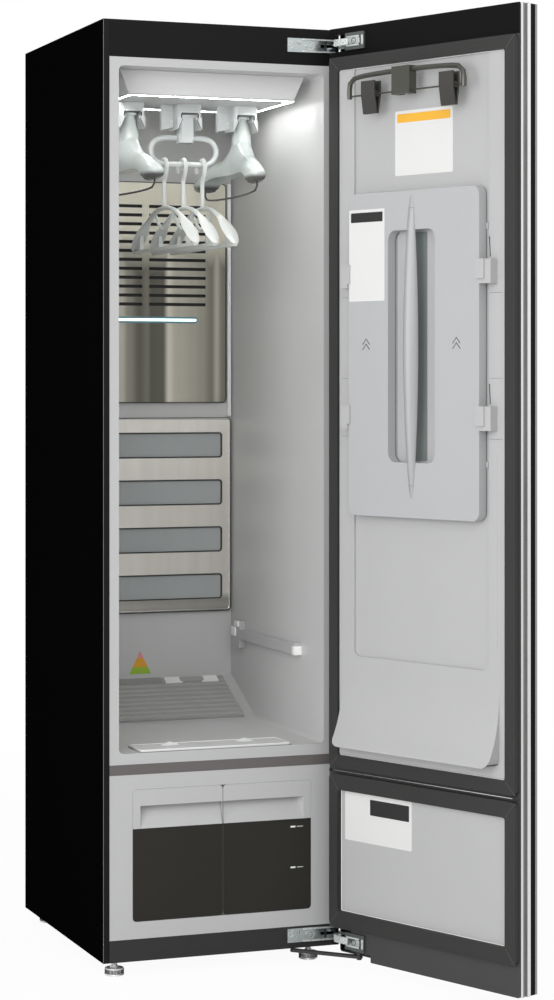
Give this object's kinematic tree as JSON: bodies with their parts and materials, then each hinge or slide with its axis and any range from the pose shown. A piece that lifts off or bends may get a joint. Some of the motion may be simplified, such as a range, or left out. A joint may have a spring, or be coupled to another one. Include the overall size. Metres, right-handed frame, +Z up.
{
  "type": "clothes care steam cabinet",
  "caption": "Tall narrow steam cabinet for clothes care: chamber with hangers and air nozzles, water tanks below, hinged door with a press plate.",
  "frame": {"origin": "centre of the base pan's flat underside; the feet reach 28 mm below it", "axes": "+Z up, +X towards the hinge side, -Y to the front that opens"},
  "size_m": [0.7009, 1.0583, 1.878],
  "materials": {
    "black_sheet": "satin black coated sheet",
    "grey_sheet": "dark grey coated sheet",
    "door_grey": "dark grey satin plastic",
    "front_glass": "black mirror glass with a satin edge",
    "mid_grey_sheet": "warm grey coated sheet",
    "pale_moulding": "pale grey moulded plastic",
    "steam_cover": "champagne brushed steel",
    "zinc": "zinc plated steel",
    "gasket": "dark grey soft rubber",
    "smoked_tank": "smoked transparent plastic",
    "mint_gloss": "pale mint gloss plastic",
    "white_plastic": "white moulded plastic",
    "press_blue": "cool light grey satin plastic",
    "nickel_grey": "dark nickel grey plastic",
    "light_strip": "frosted white light strip",
    "machine_grey": "grey technical plastic",
    "filter_grey": "grey filter fleece",
    "machine_steel": "black coated steel",
    "fin_aluminium": "thin fins"
  },
  "bodies": {
    "cabinet": {"side_panel_left": "black_sheet", "side_panel_right": "black_sheet", "top_panel": "black_sheet", "base_pan": "grey_sheet", "back_panel": "grey_sheet", "top_rail": "grey_sheet", "mid_rail": "mid_grey_sheet", "bottom_rail": "black_sheet", "cavity_liner": "pale_moulding", "upper_back_plate": "steam_cover", "lower_grille_plate": "steam_cover", "air_filter": "filter_grey", "shelf_rail_left": "pale_moulding", "shelf_rail_right": "pale_moulding", "lamp_housing": "pale_moulding", "light_frame": "light_strip", "air_nozzle_left": "pale_moulding", "air_nozzle_middle": "pale_moulding", "air_nozzle_right": "pale_moulding", "tank_bay": "pale_moulding", "compressor": "machine_steel", "steam_generator": "machine_grey", "circulation_fan": "machine_grey", "heat_exchanger": "fin_aluminium", "hinge_top_base": "zinc", "hinge_bottom_base": "zinc"},
    "foot_front_left": {"foot_front_left": "zinc"},
    "foot_front_right": {"foot_front_right": "zinc"},
    "foot_rear_left": {"foot_rear_left": "zinc"},
    "foot_rear_right": {"foot_rear_right": "zinc"},
    "tray": {"ribbed_tray": "pale_moulding"},
    "hatch": {"floor_hatch": "pale_moulding"},
    "air_hanger_left": {"air_hanger_left": "mint_gloss"},
    "air_hanger_right": {"air_hanger_right": "mint_gloss"},
    "loop_rail": {"loop_rail": "white_plastic"},
    "small_hanger_left": {"small_hanger_left": "white_plastic"},
    "small_hanger_middle": {"small_hanger_middle": "white_plastic"},
    "small_hanger_right": {"small_hanger_right": "white_plastic"},
    "tank_left": {"tank_left": "smoked_tank", "tank_left_header": "pale_moulding"},
    "tank_right": {"tank_right": "smoked_tank", "tank_right_header": "pale_moulding"},
    "door": {"door_frame": "door_grey", "outer_panel": "front_glass", "handle_channel": "zinc", "gasket_upper": "gasket", "gasket_lower": "gasket", "door_liner": "pale_moulding", "lower_door_panel": "pale_moulding", "hinge_top_door_arm": "zinc", "hinge_bottom_door_arm": "zinc"},
    "door_stay": {"door_stay": "black_sheet"},
    "press_plate": {"press_plate": "press_blue", "press_handle": "press_blue"},
    "trouser_hanger": {"trouser_hanger": "nickel_grey"},
    "clip_left": {"trouser_clip_left": "nickel_grey"},
    "clip_left_jaw": {"trouser_clip_left_jaw": "nickel_grey"},
    "clip_right": {"trouser_clip_right": "nickel_grey"},
    "clip_right_jaw": {"trouser_clip_right_jaw": "nickel_grey"}
  },
  "joints": [
    {"name": "door_hinge", "type": "hinge", "parent": "cabinet", "child": "door", "pos_m": [0.24, -0.314, 0.9], "axis": [0, 0, 1], "range_deg": [-112.3, 0]},
    {"name": "door_stay_pivot", "type": "hinge", "parent": "door", "child": "door_stay", "pos_m": [0.25062, -0.38206, -0.003], "axis": [0, 0, 1], "range_deg": [0, 127.1]},
    {"name": "foot_front_left_screw", "type": "slide", "parent": "cabinet", "child": "foot_front_left", "axis": [0, 0, -1], "range_m": [0, 0.012]},
    {"name": "foot_front_right_screw", "type": "slide", "parent": "cabinet", "child": "foot_front_right", "axis": [0, 0, -1], "range_m": [0, 0.012]},
    {"name": "foot_rear_left_screw", "type": "slide", "parent": "cabinet", "child": "foot_rear_left", "axis": [0, 0, -1], "range_m": [0, 0.012]},
    {"name": "foot_rear_right_screw", "type": "slide", "parent": "cabinet", "child": "foot_rear_right", "axis": [0, 0, -1], "range_m": [0, 0.012]},
    {"name": "tray_lift", "type": "slide", "parent": "cabinet", "child": "tray", "axis": [0, 0, 1], "range_m": [0, 0.06]},
    {"name": "hatch_lift", "type": "slide", "parent": "cabinet", "child": "hatch", "axis": [0, 0, 1], "range_m": [0, 0.04]},
    {"name": "air_hanger_left_swivel", "type": "hinge", "parent": "cabinet", "child": "air_hanger_left", "pos_m": [-0.1239, -0.056, 1.69], "axis": [0, 0, 1], "range_deg": [-20, 0]},
    {"name": "air_hanger_right_swivel", "type": "hinge", "parent": "cabinet", "child": "air_hanger_right", "pos_m": [0.1239, -0.056, 1.69], "axis": [0, 0, 1], "range_deg": [-10, 10]},
    {"name": "loop_rail_slide", "type": "slide", "parent": "cabinet", "child": "loop_rail", "axis": [0, -1, 0], "range_m": [0, 0.05]},
    {"name": "small_hanger_left_swing", "type": "hinge", "parent": "loop_rail", "child": "small_hanger_left", "pos_m": [-0.042, -0.043, 1.591], "axis": [-1, 0, 0], "range_deg": [-6, 6]},
    {"name": "small_hanger_middle_swing", "type": "hinge", "parent": "loop_rail", "child": "small_hanger_middle", "pos_m": [0, -0.043, 1.591], "axis": [-1, 0, 0], "range_deg": [-6, 6]},
    {"name": "small_hanger_right_swing", "type": "hinge", "parent": "loop_rail", "child": "small_hanger_right", "pos_m": [0.042, -0.043, 1.591], "axis": [-1, 0, 0], "range_deg": [-6, 6]},
    {"name": "tank_left_slide", "type": "slide", "parent": "cabinet", "child": "tank_left", "axis": [0, -1, 0], "range_m": [0, 0.22]},
    {"name": "tank_right_slide", "type": "slide", "parent": "cabinet", "child": "tank_right", "axis": [0, -1, 0], "range_m": [0, 0.22]},
    {"name": "press_plate_lift", "type": "slide", "parent": "door", "child": "press_plate", "axis": [0, 0, 1], "range_m": [0, 0.06]},
    {"name": "trouser_hanger_lift", "type": "slide", "parent": "door", "child": "trouser_hanger", "axis": [0, 0, 1], "range_m": [0, 0.05]},
    {"name": "clip_left_slide", "type": "slide", "parent": "trouser_hanger", "child": "clip_left", "axis": [-0.3795, 0.9252, 0], "range_m": [-0.01, 0.07]},
    {"name": "clip_left_squeeze", "type": "hinge", "parent": "clip_left", "child": "clip_left_jaw", "pos_m": [0.31507, -0.66042, 1.6997], "axis": [0.3795, -0.9252, 0], "range_deg": [0, 12], "stiffness_Nm_per_rad": 0.2, "springref_deg": -5.73},
    {"name": "clip_right_slide", "type": "slide", "parent": "trouser_hanger", "child": "clip_right", "axis": [-0.3795, 0.9252, 0], "range_m": [-0.04, 0.03]},
    {"name": "clip_right_squeeze", "type": "hinge", "parent": "clip_right", "child": "clip_right_jaw", "pos_m": [0.23728, -0.47076, 1.6997], "axis": [0.3795, -0.9252, 0], "range_deg": [0, 12], "stiffness_Nm_per_rad": 0.2, "springref_deg": -5.73}
  ],
  "couplings": [
    {"joint": "door_stay_pivot", "follows": "door_hinge", "ratio": -1.1309}
  ]
}
